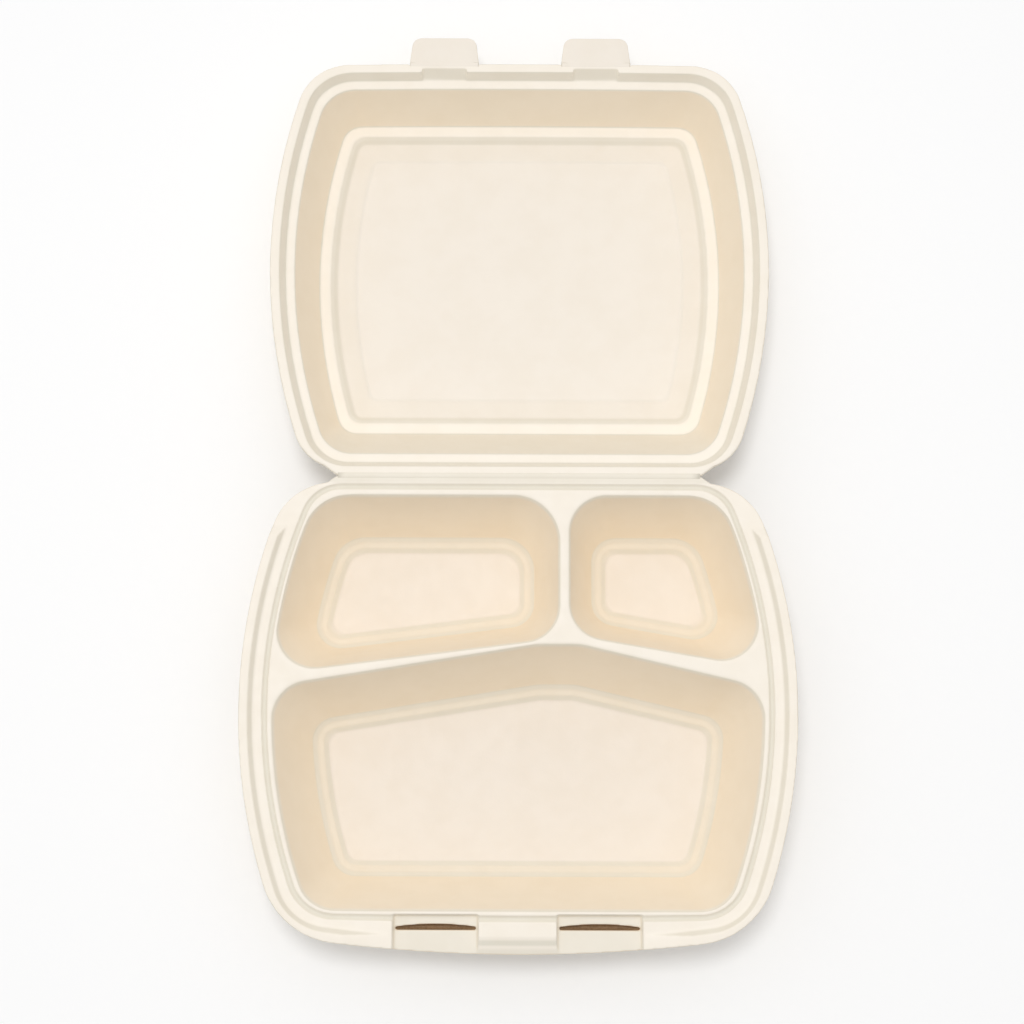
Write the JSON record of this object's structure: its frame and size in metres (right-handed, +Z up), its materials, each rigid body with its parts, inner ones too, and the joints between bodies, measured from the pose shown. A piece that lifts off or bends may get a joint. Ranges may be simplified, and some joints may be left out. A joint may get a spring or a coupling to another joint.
{
  "type": "foam meal box",
  "caption": "Hinged foam takeaway meal box, shown open, with a compartment tray, a domed lid and locking tabs that push through slots in the front rim.",
  "frame": {"origin": "on the table under the middle of the tray, at the underside of the main compartment's floor", "axes": "+Z up, +Y from the tray's front edge towards the hinge and the open lid, +X to the right"},
  "size_m": [0.241, 0.4133, 0.041],
  "materials": {
    "foam": "matte"
  },
  "bodies": {
    "tray": {"tray": "foam"},
    "lid": {"lid": "foam"},
    "left_tab": {"left_tab": "foam"},
    "right_tab": {"right_tab": "foam"}
  },
  "joints": [
    {"name": "lid_hinge", "type": "hinge", "parent": "tray", "child": "lid", "pos_m": [0, 0.103, 0.03915], "axis": [1, 0, 0], "range_deg": [0, 182.99]},
    {"name": "left_tab_fold", "type": "hinge", "parent": "lid", "child": "left_tab", "pos_m": [-0.0348, 0.29683, 0.02886], "axis": [1, 0, 0], "range_deg": [0, 90]},
    {"name": "right_tab_fold", "type": "hinge", "parent": "lid", "child": "right_tab", "pos_m": [0.0348, 0.29683, 0.02886], "axis": [1, 0, 0], "range_deg": [0, 90]}
  ]
}
